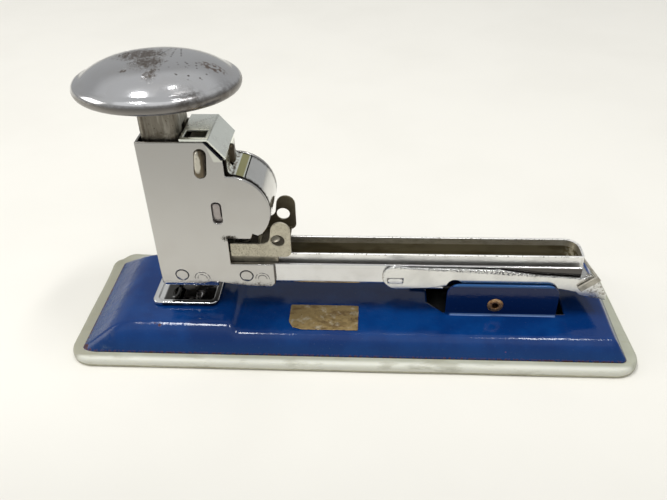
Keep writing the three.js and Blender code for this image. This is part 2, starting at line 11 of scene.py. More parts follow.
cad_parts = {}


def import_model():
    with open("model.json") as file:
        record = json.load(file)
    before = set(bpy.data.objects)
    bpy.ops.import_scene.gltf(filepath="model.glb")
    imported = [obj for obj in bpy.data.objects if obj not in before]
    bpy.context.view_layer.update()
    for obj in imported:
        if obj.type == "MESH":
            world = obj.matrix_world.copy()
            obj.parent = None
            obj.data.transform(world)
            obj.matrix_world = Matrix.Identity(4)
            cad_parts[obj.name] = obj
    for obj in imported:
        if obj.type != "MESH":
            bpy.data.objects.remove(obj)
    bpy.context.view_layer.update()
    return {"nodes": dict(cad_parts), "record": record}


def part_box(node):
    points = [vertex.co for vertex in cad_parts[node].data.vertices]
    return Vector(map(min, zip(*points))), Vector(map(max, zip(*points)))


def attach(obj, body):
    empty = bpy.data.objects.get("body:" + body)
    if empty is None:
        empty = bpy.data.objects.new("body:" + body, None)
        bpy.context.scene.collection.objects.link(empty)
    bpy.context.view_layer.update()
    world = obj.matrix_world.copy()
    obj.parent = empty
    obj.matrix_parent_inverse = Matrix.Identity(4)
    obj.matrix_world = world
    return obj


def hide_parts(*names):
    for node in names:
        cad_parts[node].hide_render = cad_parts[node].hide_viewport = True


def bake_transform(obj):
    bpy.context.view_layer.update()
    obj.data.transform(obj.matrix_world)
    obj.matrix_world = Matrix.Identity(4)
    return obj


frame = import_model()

MM = 0.001
BODY_OF = {
    node: body
    for body, members in frame["record"]["behaviour"]["bodies"].items()
    for node in members
}


def box_mm(node):
    """Lowest and highest corner of a CAD node, in millimetres."""
    low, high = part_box(node)
    return low / MM, high / MM


# -------- materials


class Value:
    """An output of a shader node. The ones that are numbers can be added and multiplied."""

    def __init__(self, finish, socket):
        self.finish = finish
        self.socket = socket

    def __add__(self, other):
        return self.finish.math("ADD", self, other)

    def __radd__(self, other):
        return self.finish.math("ADD", other, self)

    def __sub__(self, other):
        return self.finish.math("SUBTRACT", self, other)

    def __rsub__(self, other):
        return self.finish.math("SUBTRACT", other, self)

    def __mul__(self, other):
        return self.finish.math("MULTIPLY", self, other)

    def __abs__(self):
        return self.finish.math("ABSOLUTE", self)

    def ramp(self, start, end):
        """0 at start, 1 at end, smooth between them; start may be above end."""
        rising = start < end
        inputs = {
            "Value": self, "From Min": min(start, end), "From Max": max(start, end),
            "To Min": 0.0 if rising else 1.0, "To Max": 1.0 if rising else 0.0,
        }
        return self.finish.node("MapRange", inputs, "Result", interpolation_type="SMOOTHSTEP")


class Finish:
    """A node material built with short calls. Places and sizes in it are millimetres.

    A mask is a value from 0 to 1. The product of masks is where all of them are.
    """

    def __init__(self, name, color, roughness, metallic=0.0):
        self.material = bpy.data.materials.new(name)
        self.material.use_nodes = True
        self.nodes = self.material.node_tree.nodes
        self.links = self.material.node_tree.links
        self.shader = self.nodes["Principled BSDF"]
        self.shader.inputs["Metallic"].default_value = metallic
        self.color = (*color, 1.0)
        self.roughness = roughness
        self.height = 0.0
        metres = self.node("TexCoord", {}, "Object")
        self.place = self.vector("SCALE", {0: metres, "Scale": 1000.0})
        parts = self.node("SeparateXYZ", {0: self.place}).socket.node
        self.x, self.y, self.z = (Value(self, socket) for socket in parts.outputs)

    def put(self, socket, value):
        if isinstance(value, Value):
            self.links.new(value.socket, socket)
        else:
            socket.default_value = value

    def node(self, kind, inputs, output=0, **settings):
        """An output of a new node, whose inputs are given by name or number."""
        node = self.nodes.new("ShaderNode" + kind)
        for name, value in settings.items():
            setattr(node, name, value)
        for key, value in inputs.items():
            self.put(node.inputs[key], value)
        return Value(self, node.outputs[output])

    def math(self, operation, a, b=0.0):
        return self.node("Math", {0: a, 1: b}, operation=operation)

    def vector(self, operation, inputs, output="Vector"):
        return self.node("VectorMath", inputs, output, operation=operation)

    def length(self, offset):
        return self.vector("LENGTH", {0: offset}, "Value")

    def stretched(self, scale, turn=(0, 0, 0)):
        """The place turned by degrees and then scaled along each axis."""
        angles = [math.radians(angle) for angle in turn]
        return self.node("Mapping", {"Vector": self.place, "Rotation": angles, "Scale": scale})

    def noise(self, size, detail=3.0, rough=0.55, place=None, warp=0.0):
        """Smooth noise from 0 to 1 whose features are about size across."""
        inputs = {
            "Vector": place or self.place, "Scale": 1.0 / size, "Detail": detail,
            "Roughness": rough, "Distortion": warp,
        }
        return self.node("TexNoise", inputs, "Fac")

    def cells(self, size):
        """Distance from the centre of the nearest random cell, in cells."""
        return self.node("TexVoronoi", {"Vector": self.place, "Scale": 1.0 / size}, "Distance")

    def either(self, *masks):
        """The highest of the masks."""
        whole = masks[0]
        for mask in masks[1:]:
            whole = self.math("MAXIMUM", whole, mask)
        return whole

    def near(self, point, reach, squash=(1, 1, 1)):
        """1 at a point, falling to 0 at reach from it, measured with each axis scaled by squash."""
        offset = self.vector("SUBTRACT", {0: self.place, 1: point})
        return self.length(self.vector("MULTIPLY", {0: offset, 1: squash})).ramp(reach, 0.0)

    def from_axis(self, x, z):
        """Distance from a line along Y through (x, z)."""
        return self.length(self.node("CombineXYZ", {0: self.x - x, 1: self.z - z}))

    def pits(self, size, share, width):
        """Round pits, one in a share of the cells. The width is in cells."""
        here = self.noise(size * 2.3, 1.0).ramp(1.0 - share, 1.05 - share)
        return self.cells(size).ramp(width, width * 0.55) * here

    def scratches(self, spacing, turn, share=0.35):
        """Fine lines along the turned X axis."""
        lines = self.noise(spacing, 1.0, 0.4, self.stretched((0.035, 1, 1), turn))
        fine = abs(lines - 0.5).ramp(0.012, 0.0)
        return fine * self.noise(spacing * 9, 2.0).ramp(1.0 - share, 1.1 - share)

    def tint(self, mask, color):
        """Lays a colour over the one so far, where the mask is 1."""
        inputs = {0: mask, 6: self.color, 7: (*color, 1.0)}  # 6 and 7 are the two colours
        self.color = self.node("Mix", inputs, 2, data_type="RGBA")

    def roughen(self, mask, roughness):
        """Changes the roughness where the mask is 1."""
        self.roughness = self.node("Mix", {0: mask, 2: self.roughness, 3: roughness})

    def raise_by(self, mask, height):
        """Adds a relief of that many millimetres where the mask is 1."""
        self.height = self.height + mask * height

    def done(self, **constants):
        """The material. The constants are set on the shader's own sockets."""
        self.put(self.shader.inputs["Base Color"], self.color)
        self.put(self.shader.inputs["Roughness"], self.roughness)
        if isinstance(self.height, Value):
            relief = self.node("Bump", {"Strength": 1.0, "Distance": MM, "Height": self.height})
            self.put(self.shader.inputs["Normal"], relief)
        for name, value in constants.items():
            self.shader.inputs[name.replace("_", " ")].default_value = value
        return self.material


RIVET_FRONT = (-54.1, 22.4)  # x and z of the head's rivets
RIVET_REAR = (-33.1, 22.4)
ARM_FRONT, ARM_FALL = 19.2, 0.0554  # the bracket's upper edge falls this much per mm behind here
RUST = (0.05, 0.03, 0.018)
GRIME = (0.035, 0.03, 0.024)


def chrome_base(name, color, roughness, wave=0.012, wear=0.5):
    """Old polished chrome: slightly wavy, finely scratched and hazed, with a few dark pits."""
    finish = Finish(name, color, roughness, metallic=1.0)
    haze = finish.noise(7.0, 4.0).ramp(0.42, 0.7)
    finish.roughen(haze, roughness + 0.07)
    finish.tint(haze * 0.25, (0.5, 0.48, 0.45))
    finish.raise_by(finish.noise(11.0, 1.0), wave * 3.0)
    finish.raise_by(finish.noise(2.4, 2.0), wave * 0.18)
    for turn in ((0, 0, 24), (12, 35, -40), (40, -20, 80)):
        lines = finish.scratches(0.55, turn)
        finish.roughen(lines * 0.5, 0.4)
        finish.raise_by(lines, -0.0012)
    few = finish.pits(1.7, 0.3 * wear, 0.14)
    finish.tint(few, GRIME)
    finish.roughen(few, 0.7)
    return finish


def arch_mark(finish, centre, radius):
    """Worn half-round stamp: two nested arcs on a face seen from the near side."""
    x, z = centre
    distance = finish.from_axis(x, z)
    worn = finish.noise(0.8, 2.0).ramp(0.4, 0.56)
    above = finish.z.ramp(z - 0.5, z + 0.2)
    arcs = [abs(distance - size).ramp(0.2, 0.06) for size in (radius, radius * 0.62)]
    return finish.either(*arcs) * worn * above


def housing_chrome():
    finish = chrome_base("housing_chrome", (0.515, 0.505, 0.488), 0.15, wave=0.01, wear=0.5)
    stamps = finish.either(
        arch_mark(finish, (-47.6, 21.2), 2.4), arch_mark(finish, (-28.0, 21.4), 2.2)
    )
    stamps = stamps * finish.y.ramp(-8.2, -8.4)
    finish.tint(stamps * 0.75, (0.13, 0.12, 0.105))
    finish.raise_by(stamps, -0.04)
    burr = finish.near((-45.5, -8.5, 19.6), 1.8) * finish.noise(0.7, 3.0).ramp(0.45, 0.6)
    finish.raise_by(burr, 0.12)
    torn = finish.near((-37.0, -8.2, 37.0), 3.2, (0.5, 1, 1)) * finish.noise(0.5, 3.0, 0.7)
    finish.tint(torn.ramp(0.3, 0.42), GRIME)
    # painted highlight: a lighter slanted band on the top of the housing
    painted_facet_highlight = finish.x + (finish.z - 63.8) * 0.34
    painted_facet_highlight = painted_facet_highlight.ramp(-38.9, -38.6) * finish.z.ramp(63.5, 63.9)
    finish.tint(painted_facet_highlight * 0.85, (0.78, 0.79, 0.72))
    # painted shadow: the housing top behind a slanted line is tinted near black, where the stem's
    # shadow falls
    painted_stem_shadow = (finish.x + 36.1) * 0.778 + (finish.z - 64.6) * 0.628
    painted_stem_shadow = painted_stem_shadow.ramp(-0.75, -0.5) * finish.z.ramp(63.9, 64.3)
    finish.tint(painted_stem_shadow, (0.02, 0.02, 0.03))
    foot_end = finish.x.ramp(-24.35, -24.0) * finish.z.ramp(27.5, 26.5)
    finish.tint(foot_end * 0.85, (0.06, 0.05, 0.045))
    rough_line = finish.z.ramp(20.6, 19.3) * finish.noise(0.8, 4.0, 0.7).ramp(0.5, 0.6)
    finish.tint(rough_line * 0.8, (0.12, 0.1, 0.08))
    return finish.done()


def hood_chrome():
    finish = chrome_base("hood_chrome", (0.97, 1.0, 0.93), 0.24, wave=0.004, wear=0.05)
    band = finish.x.ramp(-33.4, -33.0) * finish.x.ramp(-30.7, -31.2)
    band = band * finish.z.ramp(57.0, 57.6) * finish.z.ramp(60.5, 59.6)
    finish.tint(band * 0.9, (0.33, 0.31, 0.12))
    finish.roughen(band, 0.5)
    low = finish.z.ramp(64.2, 63.4)
    brown = low * finish.x.ramp(-33.4, -34.0)
    smeared = finish.noise(1.3, 3.0).ramp(0.36, 0.6)
    finish.tint(brown * smeared * 0.8, (0.22, 0.17, 0.12))
    edge = abs(finish.y).ramp(6.55, 6.75) * low
    finish.tint(edge, (0.02, 0.017, 0.014))
    finish.roughen(edge, 0.7)
    # painted shade: a darker line along the fold of the hood's top
    fold = abs(finish.x + 39.6).ramp(0.35, 0.1)
    finish.tint(fold * finish.z.ramp(70.2, 70.6) * 0.35, (0.3, 0.31, 0.28))
    return finish.done()


def cover_chrome():
    finish = chrome_base("cover_chrome", (0.72, 0.72, 0.7), 0.12, wave=0.01, wear=0.8)
    across = abs(finish.y)
    finish.tint(across.ramp(6.55, 6.75), (0.02, 0.017, 0.014))
    dark_blotch = across.ramp(5.6, 6.5) * finish.noise(0.7, 3.0).ramp(0.42, 0.55)
    finish.tint(dark_blotch * 0.7, GRIME)
    return finish.done()


def channel_chrome():
    finish = chrome_base("channel_chrome", (0.68, 0.68, 0.68), 0.1, wave=0.012, wear=0.25)
    inside = abs(finish.y).ramp(6.6, 6.3) * finish.z.ramp(26.2, 25.4)
    finish.tint(inside * 0.7, (0.08, 0.06, 0.045))
    finish.roughen(inside, 0.4)
    # painted shade: the channel's outer sides above the bracket's falling upper edge are darkened
    # towards the rear
    over_arm = finish.z + (finish.x - ARM_FRONT) * ARM_FALL
    gap = (
        over_arm.ramp(25.4, 26.0) * finish.z.ramp(26.3, 26.1) * abs(finish.y).ramp(6.9, 7.1)
        * finish.x.ramp(28.0, 42.0)
    )
    finish.tint(gap * 0.9, (0.03, 0.024, 0.02))
    return finish.done()


def core_chrome():
    """Satin sides; bright worn lips inside, and a brown varnished trough below them."""
    finish = chrome_base("core_chrome", (0.97, 0.96, 0.93), 0.36, wave=0.008, wear=0.3)
    inside = abs(finish.y).ramp(4.6, 4.4)
    inside = inside * finish.x.ramp(73.1, 72.8) * finish.z.ramp(29.1, 28.9)
    grain = finish.noise(0.8, 4.0, 0.7, finish.stretched((0.25, 1, 1))).ramp(0.42, 0.66)
    finish.tint(inside * grain * 0.5, (0.5, 0.48, 0.43))
    trough = inside * finish.z.ramp(27.0, 26.7)
    finish.tint(trough, (0.3, 0.27, 0.19))
    wall = trough * finish.y.ramp(4.2, 4.32) * finish.z.ramp(23.5, 24.5)
    finish.tint(wall * 0.35, (0.6, 0.57, 0.48))
    dark_blotch = finish.noise(6.0, 4.0, place=finish.stretched((0.3, 1, 1))).ramp(0.45, 0.62)
    finish.tint(trough * dark_blotch * 0.7, (0.16, 0.135, 0.085))
    finish.roughen(trough, 0.42)
    rear = finish.x.ramp(69.0, 71.0) * inside
    finish.tint(rear * finish.noise(1.2, 3.0).ramp(0.42, 0.56), (0.75, 0.73, 0.68))
    worn_edge = finish.z.ramp(28.7, 29.0) * finish.noise(0.7, 4.0, 0.7).ramp(0.56, 0.62)
    finish.tint(worn_edge * 0.7, (0.1, 0.085, 0.06))
    return finish.done()


def bracket_chrome():
    """Near-white chrome with black pits along its upper edge and dots on its round front."""
    finish = chrome_base("bracket_chrome", (0.74, 0.74, 0.72), 0.2, wave=0.008, wear=0.7)
    below_top = 26.3 - (finish.z + (finish.x - ARM_FRONT) * ARM_FALL)
    edge = below_top.ramp(0.8, 0.1)
    grain = finish.noise(0.42, 4.0, 0.7) + edge * 0.17
    eaten = grain.ramp(0.67, 0.73)
    finish.tint(eaten * 0.9, (0.04, 0.035, 0.03))
    finish.roughen(eaten, 0.7)
    finish.raise_by(eaten, -0.02)
    front = finish.x.ramp(14.5, 12.0) * finish.pits(0.75, 0.6, 0.24)
    finish.tint(front, GRIME)
    tail = finish.x.ramp(70.0, 76.0) * finish.noise(1.1, 4.0).ramp(0.5, 0.6)
    finish.tint(tail * 0.6, (0.15, 0.12, 0.08))
    return finish.done()


def knob_chrome():
    """Mirror chrome, worn through in a patch of brown pits behind the centre of the dome."""
    low, high = box_mm("knob_dome")
    middle = (low + high) / 2
    finish = chrome_base("knob_chrome", (0.6, 0.6, 0.61), 0.1, wave=0.02, wear=0.5)

    def at(dx, dy):
        """A place on the dome, from its centre."""
        return (middle.x + dx, middle.y + dy, high.z - 1.0)

    flat = (1, 1, 0.2)
    patch = finish.either(
        finish.near(at(-4.5, 2.5), 9.5, (0.8, 1, 0.2)),
        finish.near(at(-0.5, -5.0), 8.5, (1.1, 1, 0.2)),
        finish.near(at(2.5, -12.0), 4.5, (1.5, 0.7, 0.2)) * 0.8,
        finish.near(at(-5.4, -11.0), 1.8, flat) * 0.9,
    )
    torn = finish.noise(0.8, 6.0, 0.85, finish.stretched((1, 0.5, 1), (0, 0, 25)), warp=0.6)
    worn = (torn + patch * 0.2).ramp(0.57, 0.66)
    stained = patch.ramp(0.15, 0.7) * finish.noise(2.6, 5.0, 0.7).ramp(0.4, 0.56)
    finish.tint(stained * 0.5, (0.22, 0.2, 0.18))
    worn = worn * patch.ramp(0.02, 0.2)
    finish.tint(worn * 0.9, (0.075, 0.058, 0.045))
    finish.roughen(worn, 0.6)
    finish.raise_by(worn, -0.02)
    right = finish.near(at(11.0, -7.0), 7.0, flat)
    dots = finish.pits(1.6, 0.85, 0.26) * right.ramp(0.05, 0.3)
    finish.tint(dots, RUST)
    streak = finish.near(at(16.5, -2.0), 5.5, (1, 1.5, 0.2))
    streak = streak.ramp(0.1, 0.5) * finish.noise(1.3, 4.0).ramp(0.46, 0.56)
    finish.tint(streak * 0.85, (0.14, 0.08, 0.05))
    for dx, bend in ((1.6, 0.2), (4.2, -0.1), (6.4, -0.25)):
        bow = (finish.y - (middle.y + 5.0)) * bend
        line = finish.x - (middle.x + dx) - bow
        thin = abs(line).ramp(0.3, 0.12)
        thin = thin * finish.near(at(4.0, 5.0), 6.5, flat).ramp(0.1, 0.2)
        finish.tint(thin * finish.noise(1.4, 2.0).ramp(0.4, 0.5) * 0.85, GRIME)
    smudge = finish.either(
        finish.near((middle.x + 13.0, middle.y - 17.5, low.z + 4.0), 6.5, (0.8, 0.9, 0.8)),
        finish.near((middle.x + 20.0, middle.y - 9.0, low.z + 3.0), 7.0, (0.8, 0.6, 1.2)) * 0.7,
    )
    smudge = smudge.ramp(0.05, 0.7) * finish.noise(1.6, 5.0, 0.65).ramp(0.36, 0.62)
    finish.tint(smudge * 0.8, (0.06, 0.05, 0.045))
    finish.roughen(smudge, 0.35)
    level = finish.z + finish.y * math.sin(math.radians(-KNOB["tilt_x"]))
    # painted shade: the lower side of the rolled rim is darkened
    rim = (level + finish.noise(1.3, 4.0, 0.7) * 1.2).ramp(86.6, 85.3)
    finish.tint(rim * 0.8, (0.12, 0.105, 0.09))
    finish.roughen(rim, 0.3)
    return finish.done()


def stem_nickel():
    """Nickel worn to a warm grey, with long faint streaks and brown-black pits."""
    finish = Finish("stem_nickel", (0.22, 0.2, 0.165), 0.34, metallic=1.0)
    streaks = finish.noise(1.3, 4.0, 0.6, finish.stretched((1, 1, 0.12)))
    finish.tint(streaks.ramp(0.5, 0.64) * 0.8, (0.34, 0.32, 0.275))
    finish.tint(streaks.ramp(0.44, 0.32) * 0.8, (0.12, 0.1, 0.078))
    finish.tint(finish.noise(0.8, 5.0, 0.7).ramp(0.62, 0.7), (0.05, 0.04, 0.028))
    # painted shade: the stem's front face and its corners are darkened
    corner = finish.x.ramp(-58.8, -59.6) * 0.85
    finish.tint(corner, (0.045, 0.038, 0.03))
    foot = finish.z.ramp(73.5, 70.8) * finish.noise(1.5, 3.0).ramp(0.35, 0.6)
    finish.tint(foot * 0.6, (0.06, 0.05, 0.035))
    finish.roughen(finish.noise(1.6, 4.0).ramp(0.4, 0.65), 0.5)
    finish.raise_by(finish.noise(0.6, 4.0, 0.7), 0.02)
    return finish.done()


def aged_nickel(name="aged_nickel", color=(0.5, 0.46, 0.37), dirt=0.5):
    """Dull nickel with a grain of small dark specks."""
    finish = Finish(name, color, 0.38, metallic=1.0)
    finish.tint(finish.noise(3.0, 4.0).ramp(0.45, 0.65), tuple(part * 0.72 for part in color))
    specks = finish.noise(0.45, 4.0, 0.75).ramp(0.69 - dirt * 0.1, 0.76 - dirt * 0.1)
    finish.tint(specks * 0.8, (0.1, 0.08, 0.05))
    finish.roughen(finish.noise(1.0, 4.0).ramp(0.4, 0.65), 0.56)
    finish.raise_by(finish.noise(0.4, 3.0, 0.7), 0.025)
    return finish.done()


def pusher_nickel():
    """Pale yellowed nickel, darker on the inner faces below its web; its far side is painted darker
    as shade.
    """
    finish = Finish("pusher_nickel", (0.6, 0.56, 0.45), 0.42, metallic=1.0)
    grain = finish.noise(0.55, 5.0, 0.75)
    finish.tint(grain.ramp(0.54, 0.64), (0.36, 0.32, 0.23))
    rows = finish.x.ramp(-24.0, -27.0) * finish.noise(0.32, 3.0, 0.8).ramp(0.52, 0.6)
    finish.tint(rows * 0.6, (0.16, 0.13, 0.08))
    web = finish.z.ramp(31.6, 31.2) * abs(finish.y).ramp(7.3, 7.1)
    finish.tint(web * 0.85, (0.06, 0.045, 0.03))
    # painted shade: the far half of the pusher is darkened
    far = finish.y.ramp(2.0, 6.8)
    finish.tint(far * 0.9, (0.13, 0.11, 0.07))
    finish.roughen(finish.noise(1.4, 3.0).ramp(0.4, 0.6), 0.6)
    finish.raise_by(grain, 0.04)
    return finish.done()


def lug_nickel(node):
    """A lug of dark brown metal, with a painted highlight as a bright crown on its front half and
    painted shade on its rear side.
    """
    low, high = box_mm(node)
    middle = (low + high) / 2
    finish = Finish(node + "_nickel", (0.16, 0.13, 0.09), 0.3, metallic=1.0)
    # painted highlight: a bright crown on the front half of the lug
    crown = finish.near((middle.x - 0.7, middle.y, middle.z + 1.2), 5.0, (2.2, 0.6, 0.75))
    crown = crown + finish.noise(1.6, 3.0) * 0.35
    finish.tint(crown.ramp(0.5, 0.72) * 0.85, (0.72, 0.69, 0.6))
    # painted shade on the rear side of the lug
    shade = finish.x.ramp(middle.x + 0.5, middle.x + 1.4)
    finish.tint(shade * 0.7, (0.03, 0.024, 0.018))
    finish.tint(finish.noise(0.9, 4.0, 0.7).ramp(0.62, 0.7), (0.07, 0.055, 0.035))
    finish.roughen(finish.noise(0.8, 3.0).ramp(0.4, 0.6), 0.42)
    finish.raise_by(finish.noise(1.4, 2.0), 0.05)
    return finish.done()


def spring_steel():
    finish = Finish("dark_spring_steel", (0.23, 0.22, 0.21), 0.34, metallic=1.0)
    finish.tint(finish.noise(2.0, 4.0).ramp(0.48, 0.66), (0.11, 0.09, 0.07))
    finish.roughen(finish.noise(0.9, 3.0).ramp(0.4, 0.6), 0.5)
    finish.raise_by(finish.noise(0.4, 3.0), 0.01)
    return finish.done()


def pin_brass():
    """Tarnished brass: brown in the hollow, with a lighter rubbed ring."""
    finish = Finish("tarnished_brass", (0.4, 0.23, 0.11), 0.36, metallic=1.0)
    finish.tint(finish.noise(0.7, 4.0, 0.7).ramp(0.5, 0.62), (0.13, 0.06, 0.03))
    finish.tint(finish.noise(1.2, 3.0).ramp(0.58, 0.68), (0.6, 0.42, 0.24))
    finish.roughen(finish.noise(0.6, 3.0).ramp(0.4, 0.6), 0.55)
    finish.raise_by(finish.noise(0.5, 4.0), 0.04)
    return finish.done()


def blue_enamel():
    """Thick glossy enamel: a little wrinkled and dusty, and chipped at its foot."""
    finish = Finish("blue_enamel", (0.0015, 0.024, 0.12), 0.11)
    finish.tint(finish.noise(14.0, 3.0).ramp(0.42, 0.66), (0.002, 0.036, 0.16))
    side = finish.z.ramp(8.2, 4.0)
    finish.tint(side * 0.55, (0.004, 0.036, 0.13))
    # painted shade: the ears are tinted a darker blue than the pan
    upright = finish.z.ramp(9.3, 10.2) * abs(finish.y).ramp(10.6, 10.2) * finish.x.ramp(0.0, 1.0)
    finish.tint(upright * 0.85, (0.001, 0.01, 0.06))
    # painted highlight: a light line along the fold at the foot of the near ear
    fold = (
        abs(finish.y + 10.0).ramp(0.3, 0.1) * finish.x.ramp(32.0, 33.0) * finish.x.ramp(66.5, 66.0)
        * finish.z.ramp(9.6, 9.4)
    )
    finish.tint(fold * 0.6, (0.3, 0.45, 0.75))
    # painted highlight: a lighter blue along the ears' top edges
    top_edge = upright * finish.z.ramp(20.2, 20.6)
    finish.tint(top_edge * 0.7, (0.02, 0.1, 0.28))
    front = finish.x.ramp(-74.5, -78.0) * 0.8
    rub = finish.noise(3.2, 5.0, 0.65, finish.stretched((1, 0.45, 1), (0, 0, 20))).ramp(0.42, 0.66)
    finish.tint(front * rub * 0.75, (0.05, 0.08, 0.15))
    finish.roughen(front * rub, 0.34)
    finish.roughen(side * 0.7, 0.3)
    finish.raise_by(finish.noise(2.6, 3.0), 0.07)
    finish.raise_by(finish.noise(0.75, 2.0), 0.034)
    wrinkled = finish.noise(5.0, 2.0).ramp(0.44, 0.62)
    finish.raise_by(finish.noise(0.42, 2.0) * wrinkled, 0.012)
    foot = finish.z.ramp(3.9, 3.2)
    foot_chips = foot * finish.noise(0.9, 4.0, 0.7).ramp(0.5, 0.56)
    spots = finish.either(
        finish.near((-60.8, -19.3, 10.4), 0.75),
        finish.near((-62.5, -18.6, 10.6), 0.3),
        finish.near((49.0, -23.6, 5.6), 0.6),
        finish.near((-85.5, -22.8, 3.7), 1.3),
    )
    ragged = finish.noise(0.45, 4.0, 0.7).ramp(0.35, 0.5)
    chips = finish.either(foot_chips, spots.ramp(0.1, 0.3) * ragged)
    rim = finish.either(
        foot * finish.noise(0.9, 4.0, 0.7).ramp(0.47, 0.52), spots.ramp(0.02, 0.15) * ragged
    )
    finish.tint(rim * 0.8, (0.09, 0.05, 0.16))
    finish.tint(chips, (0.06, 0.02, 0.015))
    finish.roughen(chips, 0.7)
    finish.raise_by(chips, -0.06)
    scuffs = finish.either(*(finish.scratches(0.6, turn, 0.25) for turn in ((0, 0, 8), (0, 0, 95))))
    finish.tint(scuffs * 0.25, (0.1, 0.16, 0.3))
    dust = finish.noise(0.35, 2.0).ramp(0.7, 0.76)
    finish.tint(dust * 0.2, (0.3, 0.33, 0.38))
    return finish.done(Coat_Weight=0.12, Coat_Roughness=0.05, Specular_IOR_Level=0.26)


def pad_rubber():
    """Milky soft plastic, yellowed round its lower edge and dirty where hands reach it."""
    finish = Finish("pad_plastic", (0.35, 0.355, 0.275), 0.42)
    finish.tint(finish.noise(22.0, 3.0).ramp(0.42, 0.62), (0.41, 0.415, 0.335))
    finish.tint(finish.x.ramp(-74.0, -88.0) * 0.85, (0.3, 0.29, 0.22))
    # painted light: the near side of the pad is tinted much lighter
    finish.tint(finish.y.ramp(-25.5, -27.0) * 0.85, (0.66, 0.66, 0.58))
    finish.tint(finish.z.ramp(1.3, 0.2) * 0.6, (0.38, 0.36, 0.19))
    smears = finish.noise(5.0, 5.0, 0.6, finish.stretched((0.35, 1, 1)))
    finish.tint(smears.ramp(0.52, 0.68) * 0.5, (0.28, 0.27, 0.19))
    lower = finish.z + finish.noise(3.5, 3.0, 0.6, finish.stretched((0.5, 1, 1))) * 1.6
    crease = abs(lower - 1.35).ramp(0.25, 0.08)
    finish.tint(crease * 0.5, (0.12, 0.1, 0.06))
    specks = finish.noise(0.6, 3.0, 0.7).ramp(0.68, 0.74)
    finish.tint(specks * 0.5, (0.18, 0.15, 0.1))
    # painted shade: the top of the pad under the pan is tinted near black
    painted_shade_under_pan = (
        abs(finish.x).ramp(82.0, 80.0) * abs(finish.y).ramp(22.0, 20.0) * finish.z.ramp(2.0, 2.6)
    )
    finish.tint(painted_shade_under_pan, (0.008, 0.01, 0.008))
    finish.roughen(finish.noise(2.0, 4.0).ramp(0.4, 0.65), 0.58)
    finish.raise_by(finish.noise(3.0, 3.0), 0.12)
    finish.raise_by(finish.noise(0.5, 3.0), 0.015)
    return finish.done(Subsurface_Weight=0.12, Subsurface_Radius=(0.004, 0.0035, 0.002))


def label_foil():
    """Blank brass-coloured foil, softly scuffed, rubbed through to silver and browned in places."""
    finish = Finish("label_foil", (0.42, 0.3, 0.13), 0.4, metallic=0.75)
    blotches = finish.noise(2.6, 5.0, 0.6, finish.stretched((0.6, 1, 1)))
    finish.tint(blotches.ramp(0.48, 0.66) * 0.75, (0.2, 0.125, 0.055))
    finish.tint(finish.noise(3.2, 4.0, 0.6).ramp(0.54, 0.68) * 0.75, (0.62, 0.55, 0.4))
    finish.tint(finish.noise(0.9, 4.0, 0.7).ramp(0.64, 0.7), (0.09, 0.06, 0.035))
    finish.roughen(finish.noise(1.5, 3.0).ramp(0.4, 0.6), 0.3)
    finish.raise_by(finish.noise(2.0, 4.0, 0.6), 0.08)
    return finish.done()


def anvil_chrome():
    """A mirror with hard dark blotches in its pocket."""
    finish = chrome_base("anvil_chrome", (0.8, 0.8, 0.79), 0.05, wave=0.006, wear=0.6)
    pocket = finish.z.ramp(12.3, 12.0)
    dark_blotch = finish.noise(3.2, 3.0, 0.5, finish.stretched((0.5, 1, 1), (0, 0, 12))).ramp(0.36, 0.42)
    inner = finish.x.ramp(-62.3, -61.6)
    finish.tint(pocket * dark_blotch * inner * 0.94, (0.025, 0.023, 0.02))
    return finish.done()


def rivet_chrome():
    """Flush rivets with dirt round their edges."""
    finish = chrome_base("rivet_chrome", (0.5, 0.49, 0.475), 0.16, wear=0.9)
    for place in (RIVET_FRONT, RIVET_REAR):
        away = finish.from_axis(*place)
        ring = away.ramp(1.7, 1.85) * away.ramp(3.0, 2.8)
        finish.tint(ring * 0.6, (0.2, 0.19, 0.18))
    return finish.done()


RIVET_CHROME = rivet_chrome()
NICKEL = aged_nickel()
CLIP_NICKEL = aged_nickel("clip_nickel", (0.52, 0.49, 0.42), 0.35)
SPRING = spring_steel()

# -------- meshes

SHARP = math.radians(32)


def add_object(name, data):
    piece = bpy.data.objects.new(name, data)
    bpy.context.scene.collection.objects.link(piece)
    return piece


def make_piece(name, mesh, node, material, body=None):
    """Puts a finished mesh in the scene, in place of its CAD node."""
    piece = add_object(name, mesh)
    mesh.materials.append(material)
    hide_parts(node)
    if body is None:
        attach(piece, BODY_OF[node])
    return piece


def smooth(mesh, angle=SHARP):
    """Smooth shading that stays flat across edges sharper than angle."""
    mesh.shade_smooth()
    mesh.set_sharp_from_angle(angle=angle)


def flatten_normals(piece):
    """Keeps large flat faces flat beside their rounded edges."""
    modifier = piece.modifiers.new("flat_faces", "WEIGHTED_NORMAL")
    modifier.keep_sharp = True


def round_edges(shape, width, segments):
    """Rounds the sharp edges of a bmesh by a width in millimetres."""
    sharp = [edge for edge in shape.edges if edge.is_manifold and edge.calc_face_angle() > SHARP]
    bmesh.ops.bevel(
        shape, geom=sharp, offset=width * MM, offset_type="OFFSET", segments=segments,
        profile=0.5, affect="EDGES", clamp_overlap=False,
    )


def smooth_mesh(shape, name):
    """A mesh from a bmesh, which is freed."""
    mesh = bpy.data.meshes.new(name)
    shape.to_mesh(mesh)
    shape.free()
    smooth(mesh)
    return mesh


def add_loop(shape, places):
    """Adds a closed line of edges to a bmesh."""
    verts = [shape.verts.new(place) for place in places]
    for a, b in zip(verts, verts[1:] + verts[:1]):
        shape.edges.new((a, b))


@contextmanager
def editing(mesh):
    """A bmesh of the mesh, written back at the end."""
    shape = bmesh.new()
    shape.from_mesh(mesh)
    yield shape
    shape.to_mesh(mesh)
    shape.free()


